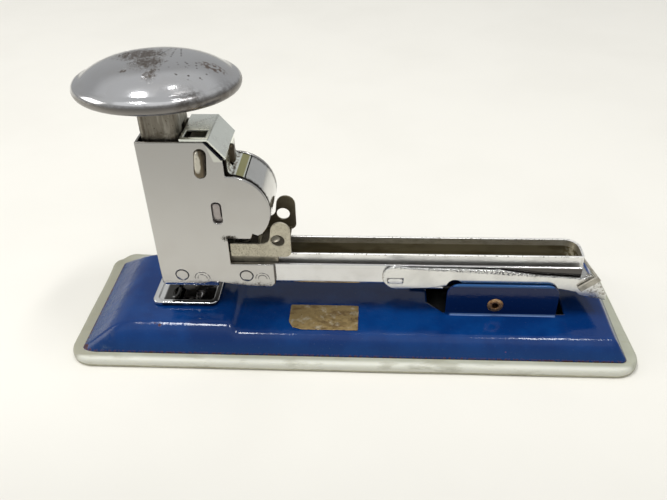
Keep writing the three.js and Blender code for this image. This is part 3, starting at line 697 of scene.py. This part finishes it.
def thicken(piece, name, thickness):
    """Gives a sheet its thickness, in millimetres, behind its faces."""
    modifier = piece.modifiers.new(name, "SOLIDIFY")
    modifier.thickness = thickness * MM
    modifier.offset = -1


def softened(node, width, material, segments=2, move=None, weld=0.002, joined=True):
    """The CAD node's own shape with its sharp edges rounded by width, and its points moved.

    Its flat faces are joined first, unless that would close an opening in one of them.
    """
    shape = bmesh.new()
    shape.from_mesh(frame["nodes"][node].data)
    bmesh.ops.remove_doubles(shape, verts=shape.verts, dist=weld * MM)
    if joined:
        bmesh.ops.dissolve_limit(
            shape, angle_limit=math.radians(0.6), verts=shape.verts, edges=shape.edges
        )
    round_edges(shape, width, segments)
    bmesh.ops.triangulate(shape, faces=[face for face in shape.faces if len(face.verts) > 4])
    if move is not None:
        for vert in shape.verts:
            vert.co = Vector(move(*(vert.co / MM))) * MM
    piece = make_piece(node + "_piece", smooth_mesh(shape, node + "_shape"), node, material)
    flatten_normals(piece)


def bent_tail(x, y, z):
    """The rear end of the magazine is bent a little: its far half sits further forward."""
    share = min(1.0, max(0.0, (x - 70.0) / 4.0))
    return x - share * 0.2 * (y + 8.5), y, z


def open_mesh(name, points, faces):
    """A mesh from points in millimetres, with its faces as they are given."""
    mesh = bpy.data.meshes.new(name)
    mesh.from_pydata([Vector(point) * MM for point in points], [], faces)
    return mesh


def mesh_of(name, points, faces):
    """A mesh from points in millimetres, with its faces turned outwards."""
    mesh = open_mesh(name, points, faces)
    with editing(mesh) as shape:
        bmesh.ops.recalc_face_normals(shape, faces=shape.faces)
    return mesh


def grid_faces(columns, rows):
    """Faces of a grid whose points are listed column by column."""
    corners = [i * (rows + 1) + j for i in range(columns) for j in range(rows)]
    return [(a, a + rows + 1, a + rows + 2, a + 1) for a in corners]


def ring_faces(rings, count):
    """Faces between rings that have count points each."""
    pairs = [
        (ring * count + i, ring * count + (i + 1) % count)
        for ring in range(rings - 1) for i in range(count)
    ]
    return [(a, b, b + count, a + count) for a, b in pairs]


def arc(x, y, r, start, end, steps):
    """Points on an arc between two angles in degrees."""
    angles = [math.radians(start + (end - start) * i / steps) for i in range(steps + 1)]
    return [(x + r * math.cos(angle), y + r * math.sin(angle)) for angle in angles]


def rounded_rect(x0, x1, y0, y1, r, steps):
    corners = [
        (x1 - r, y0 + r, -90), (x1 - r, y1 - r, 0), (x0 + r, y1 - r, 90), (x0 + r, y0 + r, 180),
    ]
    return [point for x, y, start in corners for point in arc(x, y, r, start, start + 90, steps)]


def turned(name, profile, sides):
    """A closed profile of (radius, height) pairs turned about Z."""
    points = []
    for side in range(sides):
        angle = 2 * math.pi * side / sides
        points += [(r * math.cos(angle), r * math.sin(angle), z) for r, z in profile]
    faces = [
        tuple(i % len(points) for i in face) for face in ring_faces(sides + 1, len(profile))
    ]
    mesh = mesh_of(name, points, faces)
    with editing(mesh) as shape:
        bmesh.ops.remove_doubles(shape, verts=shape.verts, dist=1e-7)
    return mesh


def tube(name, points, r, sides=12):
    """Round wire through points, with closed ends."""
    rings = []
    normal = Vector((0, 0, 1))
    path = [Vector(point) for point in points]
    for i, here in enumerate(path):
        along = (path[min(i + 1, len(path) - 1)] - path[max(i - 1, 0)]).normalized()
        normal = (normal - along * normal.dot(along)).normalized()
        other = along.cross(normal)
        for side in range(sides):
            angle = 2 * math.pi * side / sides
            rings.append(here + (normal * math.cos(angle) + other * math.sin(angle)) * r)
    faces = ring_faces(len(path), sides)
    last = (len(path) - 1) * sides
    faces.append(tuple(range(sides)))
    faces.append(tuple(last + side for side in reversed(range(sides))))
    return mesh_of(name, rings, faces)


# -------- base

PAN_LOW, PAN_HIGH = box_mm("base_pan")
PAN = {
    "half_x": PAN_HIGH.x, "half_y": PAN_HIGH.y, "bottom": PAN_LOW.z, "low": 8.9, "high": 10.94,
    "side_run": 0.605, "front_run": 1.588, "step_run": 1.08, "step_x": -38.2, "sheet": 1.0,
    "corner": 2.0,
}
WELL = {"x0": 25.5, "x1": 69.4, "half_y": 8.9, "corner": 5.0}
EAR = {"x0": 31.0, "x1": 66.4, "top": 21.0, "corner": 4.0, "hole": 2.0}
PAD = {
    "corner": 8.0, "least_corner": 2.5, "hole": 8.0, "flat_x": 86.9, "flat_y": 25.0,
    "curl": 2.3, "curl_x": 26, "curl_y": 9, "skew": 0.045,
}


def soft_min(a, b, width):
    """The lower of two heights, with their meeting line rounded over width."""
    overlap = max(width - abs(a - b), 0.0) / width
    return min(a, b) - overlap * overlap * width / 4


def soft_max(a, b, width):
    return -soft_min(-a, -b, width)


def pan_height(x, y):
    """Height of the pan's outer face: two plateaus and a step, inside four slopes."""
    side = PAN["bottom"] + (PAN["half_y"] - abs(y)) / PAN["side_run"]
    front = PAN["bottom"] + (x + PAN["half_x"]) / PAN["front_run"]
    rear = PAN["bottom"] + (PAN["half_x"] - x) / PAN["side_run"]
    step = PAN["high"] - (x - PAN["step_x"]) / PAN["step_run"]
    plateau = soft_max(soft_min(PAN["high"], step, 0.9), PAN["low"], 0.9)
    ends = soft_min(front, rear, 1.5)
    ridge = 3.0 if x < PAN["step_x"] else 1.9
    near_ridge = 4.6 - 1.4 * min(1.0, max(0.0, (x - PAN["step_x"]) / 8.0))
    height = soft_min(soft_min(ends, plateau, ridge), side, near_ridge)
    dent = noise.noise(Vector((x / 9, y / 9, 0))) * 0.09
    dent += noise.noise(Vector((x / 2.6, y / 2.6, 5))) * 0.02
    inner = min(1.0, max(0.0, (height - PAN["bottom"]) / 2))
    return height + (dent - 0.05) * inner


def graded(stops):
    """Values from the first stop to the last; each stop is (value, spacing after it)."""
    values = []
    for (start, gap), (end, _) in zip(stops, stops[1:]):
        count = max(1, round((end - start) / gap))
        values += [start + (end - start) * i / count for i in range(count)]
    return values + [stops[-1][0]]


def round_corner(x, y, r):
    """Moves a point of a square corner onto a round one."""
    reach_x, reach_y = PAN["half_x"] - r, PAN["half_y"] - r
    dx, dy = abs(x) - reach_x, abs(y) - reach_y
    if dx <= 0 or dy <= 0:
        return x, y
    pull = max(dx, dy) / math.hypot(dx, dy)
    return math.copysign(reach_x + dx * pull, x), math.copysign(reach_y + dy * pull, y)


def past_corner(x, y):
    """How far a point is inside the slanted front corners of the well."""
    return (x - WELL["x0"] + WELL["half_y"] - abs(y) - WELL["corner"]) / math.sqrt(2)


def cut_corner(x, y):
    """Moves a point that is nearly on a slanted corner of the well onto it."""
    off = past_corner(x, y)
    beside = WELL["x0"] <= x <= WELL["x0"] + WELL["corner"] and abs(y) <= WELL["half_y"]
    if abs(off) > 0.3 or not beside:
        return x, y
    return x - off / math.sqrt(2), y + math.copysign(off / math.sqrt(2), y)


def base_pan(enamel):
    """Pressed sheet: a grid over the plan, left open at the well."""
    hx, hy = PAN["half_x"], PAN["half_y"]
    xs = graded([
        (-hx, 0.35), (-hx + 16, 0.7), (PAN["step_x"] - 3, 0.3), (PAN["step_x"] + 5, 0.9),
        (WELL["x0"], 0.4), (EAR["x0"], 0.5), (EAR["x1"], 0.5), (WELL["x1"], 0.6), (hx - 7, 0.3),
        (hx, 1),
    ])
    half = graded([(WELL["half_y"], 0.35), (WELL["half_y"] + 2, 0.6), (hy - 7.5, 0.25), (hy, 1)])
    middle = graded([(-WELL["half_y"], 0.4), (WELL["half_y"], 1)])[1:-1]
    ys = [-y for y in reversed(half)] + middle + half
    points = []
    for x in xs:
        for y in ys:
            px, py = cut_corner(*round_corner(x, y, PAN["corner"]))
            points.append((px, py, pan_height(px, py)))
    faces = []
    for face in grid_faces(len(xs) - 1, len(ys) - 1):
        (i, j), (k, m) = divmod(face[0], len(ys)), divmod(face[2], len(ys))
        x, y = (xs[i] + xs[k]) / 2, (ys[j] + ys[m]) / 2
        in_well = WELL["x0"] < x < WELL["x1"] and abs(y) < WELL["half_y"]
        if not (in_well and past_corner(x, y) > 0):
            faces.append(face)
    mesh = open_mesh("base_pan", points, faces)
    with editing(mesh) as shape:
        loose = [vert for vert in shape.verts if not vert.link_faces]
        bmesh.ops.delete(shape, geom=loose, context="VERTS")
        bmesh.ops.recalc_face_normals(shape, faces=shape.faces)
        if sum(face.normal.z for face in shape.faces) < 0:
            bmesh.ops.reverse_faces(shape, faces=shape.faces)
    thicken(make_piece("base_pan_piece", mesh, "base_pan", enamel), "sheet", PAN["sheet"])
    smooth(mesh, math.radians(50))


def ear(side, enamel):
    """An ear bent up from the pan beside the well."""
    steps = 8
    x0, x1, top, r, foot = EAR["x0"], EAR["x1"], EAR["top"], EAR["corner"], PAN["low"] - 0.6
    outline = [
        (x1, foot), *arc(x1 - r, top - r, r, 8, 90, steps),
        *arc(x0 + r, top - r, r, 90, 172, steps), (x0, foot),
    ]
    pin = box_mm("hinge_pin")
    centre_x, centre_z = (pin[0].x + pin[1].x) / 2, (pin[0].z + pin[1].z) / 2
    hole = arc(centre_x, centre_z, EAR["hole"], 360, 0, 40)[:-1]
    shape = bmesh.new()
    for loop in (outline, hole):
        add_loop(shape, [(x * MM, side * WELL["half_y"] * MM, z * MM) for x, z in loop])
    bmesh.ops.triangle_fill(shape, use_beauty=True, edges=shape.edges[:])
    extruded = bmesh.ops.extrude_face_region(shape, geom=shape.faces[:])
    moved = [part for part in extruded["geom"] if isinstance(part, bmesh.types.BMVert)]
    bmesh.ops.translate(shape, verts=moved, vec=(0, side * PAN["sheet"] * MM, 0))
    bmesh.ops.recalc_face_normals(shape, faces=shape.faces)
    round_edges(shape, 0.28, 3)
    mesh = smooth_mesh(shape, "ear")
    piece = add_object("base_ear_near" if side < 0 else "base_ear_far", mesh)
    mesh.materials.append(enamel)
    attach(piece, BODY_OF["base_pan"])
    flatten_normals(piece)


def base_pad():
    """Soft pad with rounded edges; its far front corner has curled up beyond the pan."""
    low, high = box_mm("base_pad")
    top, anvil_x = high.z, sum(corner.x for corner in box_mm("anvil_button")) / 2
    profile = [
        (0.5, low.z), (0.12, 0.15), (0.0, 0.55), (0.0, top - 1.1), (0.25, top - 0.42),
        (0.8, top - 0.06), (1.5, top), (2.4, top), (3.3, top), (5.0, top),
    ]
    rings = []
    for inset, z in profile:
        r = max(PAD["corner"] - inset, PAD["least_corner"])
        sides = low.x + inset, high.x - inset, low.y + inset, high.y - inset
        rings.append([(x, y, z) for x, y in subdivided(rounded_rect(*sides, r, 12), 4.0)])
    points = []
    for ring in rings:
        for x, y, z in ring:
            corner = math.hypot((x - low.x) / PAD["curl_x"], (y - high.y) / PAD["curl_y"])
            outside = max(0.0, abs(y) - PAD["flat_y"], -x - PAD["flat_x"]) / 3.2
            curl = PAD["curl"] * max(0.0, 1 - corner) ** 0.8 * min(1.0, outside) ** 1.2 * (z / top)
            sway = noise.noise(Vector((x / 18, y / 18, 3))) * 0.16
            across = 1 + sway / 60 if z > 0 else 1
            skew = PAD["skew"] * max(0.0, y + 20) * min(1.0, max(0.0, (x - 60) / 25))
            points.append((x * across - skew, y * across, z + curl))
    mesh = mesh_of("base_pad", points, ring_faces(len(rings), len(rings[0])))
    with editing(mesh) as shape:
        for z in (low.z, top):
            hole = arc(anvil_x, 0, PAD["hole"], 0, 360, 48)[:-1]
            add_loop(shape, [(x * MM, y * MM, z * MM) for x, y in hole])
        shape.verts.ensure_lookup_table()
        rims = [edge for edge in shape.edges if len(edge.link_faces) < 2]
        for z in (low.z, top):
            level = [
                edge for edge in rims if all(abs(vert.co.z / MM - z) < 0.02 for vert in edge.verts)
            ]
            bmesh.ops.triangle_fill(shape, use_beauty=True, edges=level)
        walls = [edge for edge in shape.edges if len(edge.link_faces) == 1]
        bmesh.ops.bridge_loops(shape, edges=walls)
        bmesh.ops.recalc_face_normals(shape, faces=shape.faces)
    smooth(mesh, math.radians(50))
    make_piece("base_pad_piece", mesh, "base_pad", pad_rubber())


def subdivided(loop, gap):
    """The closed loop with its long straight stretches split."""
    split = []
    for (x0, y0), (x1, y1) in zip(loop, loop[1:] + loop[:1]):
        length = math.hypot(x1 - x0, y1 - y0)
        count = max(1, round(length / gap)) if length > 12 else 1
        split += [(x0 + (x1 - x0) * i / count, y0 + (y1 - y0) * i / count) for i in range(count)]
    return split


def label():
    """Thin foil with ragged edges, rounded corners and a torn near front corner."""
    low, high = box_mm("label_plate")
    columns, rows = 64, 36
    points = []
    for i in range(columns + 1):
        for j in range(rows + 1):
            u, v = i / columns, j / rows
            torn = max(0.0, 1 - math.hypot(u * 5, v * 3.2))
            x = low.x + (high.x - low.x) * u + 1.5 * torn * (1 - u)
            y = low.y + (high.y - low.y) * v + 1.1 * torn * (1 - v)
            fray = abs(noise.noise(Vector((x * 1.3, y * 1.3, 1)))) * 0.22
            if i in (0, columns):
                x += -fray if i else fray
            if j in (0, rows):
                y += -fray if j else fray
            over_u, over_v = max(0, abs(u - 0.5) - 0.47) * 16, max(0, abs(v - 0.5) - 0.45) * 10
            round_off = max(0.0, math.hypot(over_u, over_v) - 0.38) * 1.5
            x -= math.copysign(round_off, u - 0.5)
            y -= math.copysign(round_off, v - 0.5)
            wave = noise.noise(Vector((x / 1.7, y / 1.7, 9))) * 0.03
            points.append((x, y, high.z - 0.03 + wave))
    mesh = open_mesh("label", points, grid_faces(columns, rows))
    smooth(mesh, math.radians(60))
    thicken(make_piece("label_foil_piece", mesh, "label_plate", label_foil()), "foil", 0.14)


# -------- knob and springs

KNOB = {
    "x": -53.5, "r": 23.53, "rim_z": 84.55, "dome": 4.85, "fullness": 3.6, "sheet": 0.8,
    "roll": 2.2, "tilt_x": -4.4, "tilt_y": 1.0,
}


def dome_profile(drop, steps):
    """Points from the edge of the dome to its crown; drop moves the curve in by the sheet."""
    rise = KNOB["dome"] - drop
    span = KNOB["r"] - KNOB["roll"] - drop
    along = [1 - (i / steps) ** 1.2 for i in range(steps + 1)]
    edge = KNOB["rim_z"] + KNOB["roll"]
    return [(span * out, edge + rise * (1 - out ** KNOB["fullness"])) for out in along]


def knob():
    r, z, roll = KNOB["r"], KNOB["rim_z"], KNOB["roll"]
    rim = arc(r - roll, z, roll, -88, 74, 22)
    bead = arc(r - roll - 0.1, z - roll + 0.35, 0.42, -180, -60, 8)
    outer = dome_profile(0.0, 40)[1:]
    inner = list(reversed(dome_profile(KNOB["sheet"], 16)))
    profile = bead + rim[3:] + outer + inner + [(r - roll - 0.9, z)]
    mesh = turned("knob_dome", profile, 192)
    tilt = Matrix.Rotation(math.radians(KNOB["tilt_y"]), 4, "Y")
    tilt = tilt @ Matrix.Rotation(math.radians(KNOB["tilt_x"]), 4, "X")
    middle = Vector((KNOB["x"], 0, z)) * MM
    mesh.transform(Matrix.Translation(middle) @ tilt @ Matrix.Translation(-Vector((0, 0, z)) * MM))
    smooth(mesh, math.radians(40))
    make_piece("knob_dome_piece", mesh, "knob_dome", knob_chrome())


def helix(x, y, z0, z1, r, turns):
    steps = round(turns * 36)
    points = []
    for i in range(steps + 1):
        t = i / steps
        angle = 2 * math.pi * turns * t
        points.append((x + r * math.cos(angle), y + r * math.sin(angle), z0 + (z1 - z0) * t))
    return points


def spring(node, points, r):
    """A wire between two bodies."""
    mesh = tube(node, points, r)
    smooth(mesh, math.radians(60))
    piece = make_piece(node + "_wire", mesh, node, SPRING, body="blend")
    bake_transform(piece)


def compression_spring(node, r_wire, turns):
    low, high = box_mm(node)
    x, y = (low.x + high.x) / 2, (low.y + high.y) / 2
    r = (high.y - low.y) / 2 - r_wire
    z0, z1 = low.z + r_wire, high.z - r_wire
    spring(node, helix(x, y, z0, z1, r, turns), r_wire)


def torsion_spring():
    """Coils round the hinge pin; one leg presses up on the bracket, the other down on the pan."""
    pin = box_mm("hinge_pin")
    x, z = (pin[0].x + pin[1].x) / 2, (pin[0].z + pin[1].z) / 2
    r, half, turns = 3.3, 3.2, 5.5
    leg_up, leg_down = (28, -half, 16.9), (20, half, PAN["low"] + 0.6)
    steps = 200
    points = [leg_up]
    for i in range(steps + 1):
        angle = math.pi / 2 - 2 * math.pi * turns * i / steps
        y = half * (2 * i / steps - 1)
        points.append((x + r * math.cos(angle), y, z + r * math.sin(angle)))
    points.append(leg_down)
    spring("lift_spring", points, 0.5)


def tape():
    """The stretch of tape between its coil and the pusher."""
    low, high = box_mm("tape_strip")
    steps, rows = 60, 8
    points = []
    for i in range(steps + 1):
        x = low.x + (high.x - low.x) * i / steps
        for j in range(rows + 1):
            across = 2 * j / rows - 1
            points.append((x, high.y * across, low.z + 0.05 + 0.14 * across * across))
    mesh = open_mesh("tape_strip", points, grid_faces(steps, rows))
    with editing(mesh) as shape:
        bmesh.ops.solidify(shape, geom=shape.faces[:], thickness=0.1 * MM)
        bmesh.ops.recalc_face_normals(shape, faces=shape.faces)
    smooth(mesh)
    piece = make_piece("tape_strip_band", mesh, "tape_strip", SPRING, body="blend")
    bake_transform(piece)


# -------- assembly

enamel = blue_enamel()
base_pan(enamel)
ear(-1, enamel)
ear(1, enamel)
base_pad()
label()
knob()

softened("head_housing", 0.3, housing_chrome(), 3)
softened("hood_cover", 0.22, hood_chrome(), joined=False)
softened("rear_cover", 0.2, cover_chrome())
softened("magazine_channel", 0.25, channel_chrome(), joined=False)
softened("core_rail", 0.22, core_chrome())
softened("hinge_bracket", 0.28, bracket_chrome(), 3, bent_tail, 0.15)
softened("rear_clip", 0.22, CLIP_NICKEL, 2, bent_tail)
softened("pusher", 0.24, pusher_nickel(), weld=0.15)
softened("plunger_stem", 0.35, stem_nickel(), joined=False)
softened("anvil_plate", 0.28, anvil_chrome(), 3)
softened("hinge_pin", 0.12, pin_brass())
softened("knob_underside", 0.15, chrome_base("underside_chrome", (0.85, 0.85, 0.8), 0.3).done())
for side in ("near", "far"):
    softened("front_rivet_" + side, 0.22, RIVET_CHROME)
    softened("rear_rivet_" + side, 0.22, RIVET_CHROME)
for place in ("near", "far", "rear"):
    softened("guide_lug_" + place, 0.95, lug_nickel("guide_lug_" + place), 5)
softened("spool_frame", 0.2, aged_nickel("frame_nickel", (0.42, 0.385, 0.37), 0.6), 3)
for node in ("stem_guide", "tape_spool", "staple_follower", "anvil_button"):
    softened(node, 0.15, NICKEL)
for node in ("pusher_rivet_front", "pusher_rivet_rear"):
    softened(node, 0.1, NICKEL)
for node in ("anvil_post", "spool_pin", "tape_coil", "knob_screw", "driver_blade", "driver_rivet"):
    softened(node, 0.1, SPRING)

compression_spring("plunger_spring", 0.4, 8)
compression_spring("anvil_spring", 0.35, 3.5)
torsion_spring()
tape()

# -------- floor, light and camera


def floor():
    """A pale laminate, with painted shade darkening it in front of the stapler. Its size and level
    are in metres.
    """
    size, level = 3.0, -0.0002
    mesh = bpy.data.meshes.new("floor")
    signs = ((-1, -1), (1, -1), (1, 1), (-1, 1))
    mesh.from_pydata([(x * size, y * size, level) for x, y in signs], [], [(0, 1, 2, 3)])
    piece = add_object("floor", mesh)
    finish = Finish("floor_laminate", (0.78, 0.76, 0.7), 0.38)
    finish.tint(finish.noise(90.0, 3.0).ramp(0.4, 0.65) * 0.5, (0.74, 0.72, 0.66))
    # painted shade: the floor darkens towards the near side
    finish.tint(finish.y.ramp(-25.0, -150.0), (0.5, 0.49, 0.455))
    finish.raise_by(finish.noise(1.5, 2.0), 0.004)
    mesh.materials.append(finish.done())


def area_light(name, place, size, power, target=(0, 0, 0.03), color=(1, 1, 1)):
    """A soft rectangular light, with its places and sizes in metres."""
    data = bpy.data.lights.new(name, "AREA")
    data.shape = "RECTANGLE"
    data.size, data.size_y = size
    data.energy = power
    data.color = color
    light = add_object(name, data)
    light.location = place
    light.rotation_mode = "QUATERNION"
    light.rotation_quaternion = (Vector(target) - Vector(place)).to_track_quat("-Z", "Y")


def world():
    """An even pale room, a little brighter overhead."""
    sky = bpy.data.worlds.new("studio")
    sky.use_nodes = True
    tree = sky.node_tree
    place = tree.nodes.new("ShaderNodeTexCoord")
    parts = tree.nodes.new("ShaderNodeSeparateXYZ")
    height = tree.nodes.new("ShaderNodeMapRange")
    height.interpolation_type = "SMOOTHSTEP"
    for name, value in {"From Min": 0.48, "From Max": 0.7, "To Min": 0.46, "To Max": 0.66}.items():
        height.inputs[name].default_value = value
    background = tree.nodes["Background"]
    background.inputs["Color"].default_value = (0.97, 0.98, 0.98, 1.0)
    tree.links.new(place.outputs["Generated"], parts.inputs[0])
    tree.links.new(parts.outputs["Z"], height.inputs["Value"])
    tree.links.new(height.outputs["Result"], background.inputs["Strength"])
    bpy.context.scene.world = sky


def camera():
    """Above the near side, looking down along the length of the base with a slight roll."""
    place = Vector((7.48, -182.25, 158.41)) * MM
    yaw, pitch, roll = -0.0711, 0.6234, 0.0285
    level = math.cos(pitch)
    ahead = Vector((math.sin(yaw) * level, math.cos(yaw) * level, -math.sin(pitch)))
    right = Vector((math.cos(yaw), -math.sin(yaw), 0))
    down = ahead.cross(right)
    turned_right = right * math.cos(roll) + down * math.sin(roll)
    turned_down = down * math.cos(roll) - right * math.sin(roll)
    data = bpy.data.cameras.new("camera")
    data.sensor_width = 36.0
    data.lens = 37.35
    data.clip_start, data.clip_end = 0.01, 10.0
    view = add_object("camera", data)
    axes = Matrix((turned_right, -turned_down, -ahead)).transposed()
    view.matrix_world = Matrix.Translation(place) @ axes.to_4x4()
    bpy.context.scene.camera = view


floor()
world()
area_light("ceiling_front", (-0.1, -0.45, 1.0), (1.4, 0.8), 1.0)
area_light("ceiling_lamp", (-0.3, -0.07, 1.08), (0.34, 0.12), 5.6)
area_light("ceiling_lamp_rear", (0.33, -0.07, 1.08), (0.3, 0.08), 2.6)
area_light("ceiling_spot", (0.05, 0.29, 1.03), (0.035, 0.03), 0.14, target=(0, 0, 0.08))
area_light("window_left", (-1.0, -0.05, 0.5), (0.6, 0.5), 2.5, color=(1.0, 0.98, 0.95))
bpy.context.scene.view_settings.view_transform = "Standard"
camera()
